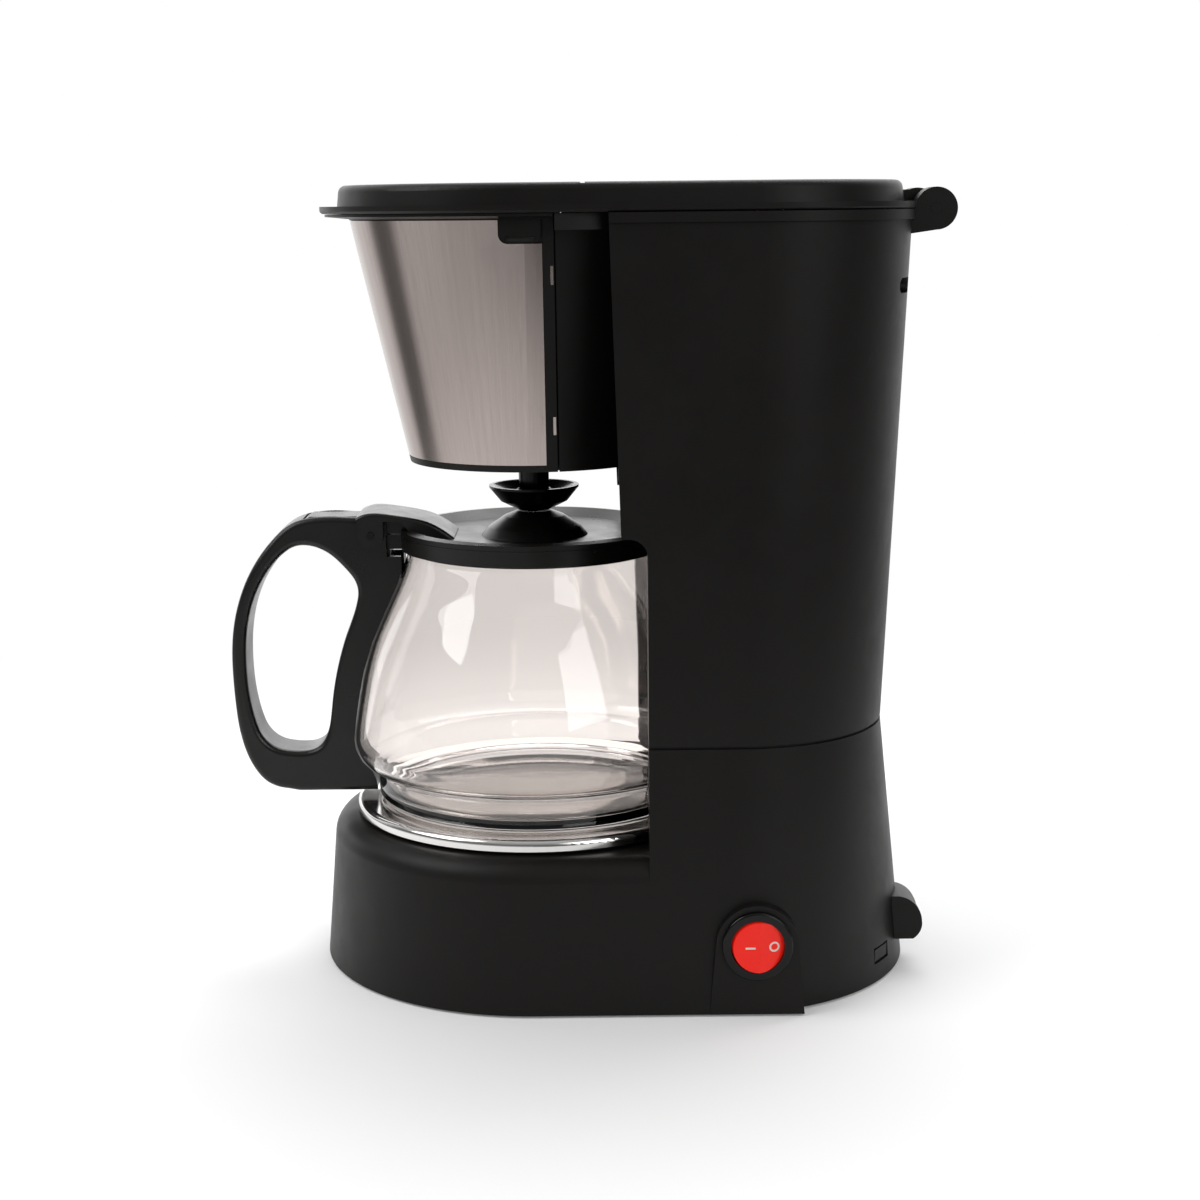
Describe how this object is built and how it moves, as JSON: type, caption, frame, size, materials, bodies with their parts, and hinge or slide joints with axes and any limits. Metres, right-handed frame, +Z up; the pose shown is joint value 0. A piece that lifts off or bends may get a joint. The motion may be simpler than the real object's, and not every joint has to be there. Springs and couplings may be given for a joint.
{
  "type": "drip coffee maker",
  "caption": "Upright drip coffee maker: oval base with warming plate, tank tower, swing-out filter cone with steel front, hinged lid and glass carafe with loop handle.",
  "frame": {"origin": "on the table surface under the feet, at the middle of the width and of the whole length from carafe handle to lid hinge", "axes": "+Z up, front with the carafe towards -Y, switch on the +X side"},
  "size_m": [0.1559, 0.249, 0.27],
  "materials": {
    "black_satin": "satin",
    "black_gloss": "gloss",
    "red_clear": "gloss, tinted",
    "steel_skin": "brushed along its height",
    "steel_plate": "polished",
    "steel_plain": "plain",
    "aluminium": "plain",
    "brass": "plain",
    "rubber": "matte",
    "silicone": "matte",
    "white_sleeve": "matte",
    "white_plastic": "matte",
    "filter_plastic": "matte",
    "mesh": "fine woven nylon",
    "glass": "clear"
  },
  "bodies": {
    "machine": {"base_housing": "black_satin", "tower_housing": "black_satin", "base_plate": "black_satin", "cord_inlet": "black_satin", "switch_body": "black_gloss", "hot_plate": "steel_plate", "lid_pin": "black_satin", "swing_pin": "steel_plain", "base_screws": "steel_plain", "heater_nut": "steel_plain", "heater_clamp": "steel_plain", "hose_clips": "steel_plain", "heater_tube": "aluminium", "thermostat": "aluminium", "switch_terminals": "brass", "feet": "rubber", "hot_plate_seal": "rubber", "riser_grommet": "rubber", "cold_hose": "silicone", "hot_hose": "silicone", "thermal_fuse": "white_sleeve", "one_way_valve": "white_plastic", "riser_tube": "white_plastic", "spout_arm": "white_plastic"},
    "lid": {"lid": "black_satin"},
    "holder": {"basket_holder": "black_satin", "steel_skin": "steel_skin", "filter_basket": "filter_plastic", "filter_mesh": "mesh", "valve_spring": "steel_plain"},
    "valve": {"drip_valve": "black_gloss", "valve_seal": "rubber"},
    "rocker": {"switch_rocker": "red_clear"},
    "ball": {"valve_ball": "steel_plain"},
    "carafe": {"carafe_glass": "glass", "carafe_collar": "black_satin", "carafe_handle": "black_satin", "handle_screw": "steel_plain", "carafe_lid": "black_satin", "carafe_lid_pin": "black_satin"}
  },
  "joints": [
    {"name": "lid_hinge", "type": "hinge", "parent": "machine", "child": "lid", "pos_m": [0, 0.1175, 0.2606], "axis": [-1, 0, 0], "range_deg": [0, 100]},
    {"name": "holder_swing", "type": "hinge", "parent": "machine", "child": "holder", "pos_m": [-0.0645, -0.0077, 0.238], "axis": [0, 0, -1], "range_deg": [0, 90]},
    {"name": "drip_valve_lift", "type": "slide", "parent": "holder", "child": "valve", "axis": [0, 0, 1], "range_m": [0, 0.003], "stiffness_N_per_m": 300, "springref_m": -0.004, "deforming": ["valve_spring"]},
    {"name": "switch_rocker_tilt", "type": "hinge", "parent": "machine", "child": "rocker", "pos_m": [0.0757, 0.0555, 0.0245], "axis": [0, 0, -1], "range_deg": [0, 18]},
    {"name": "check_ball_lift", "type": "slide", "parent": "machine", "child": "ball", "axis": [0, 0, 1], "range_m": [0, 0.003]},
    {"name": "carafe_slide", "type": "slide", "parent": "machine", "child": "carafe", "axis": [0, -1, 0], "range_m": [0, 0.16]}
  ]
}
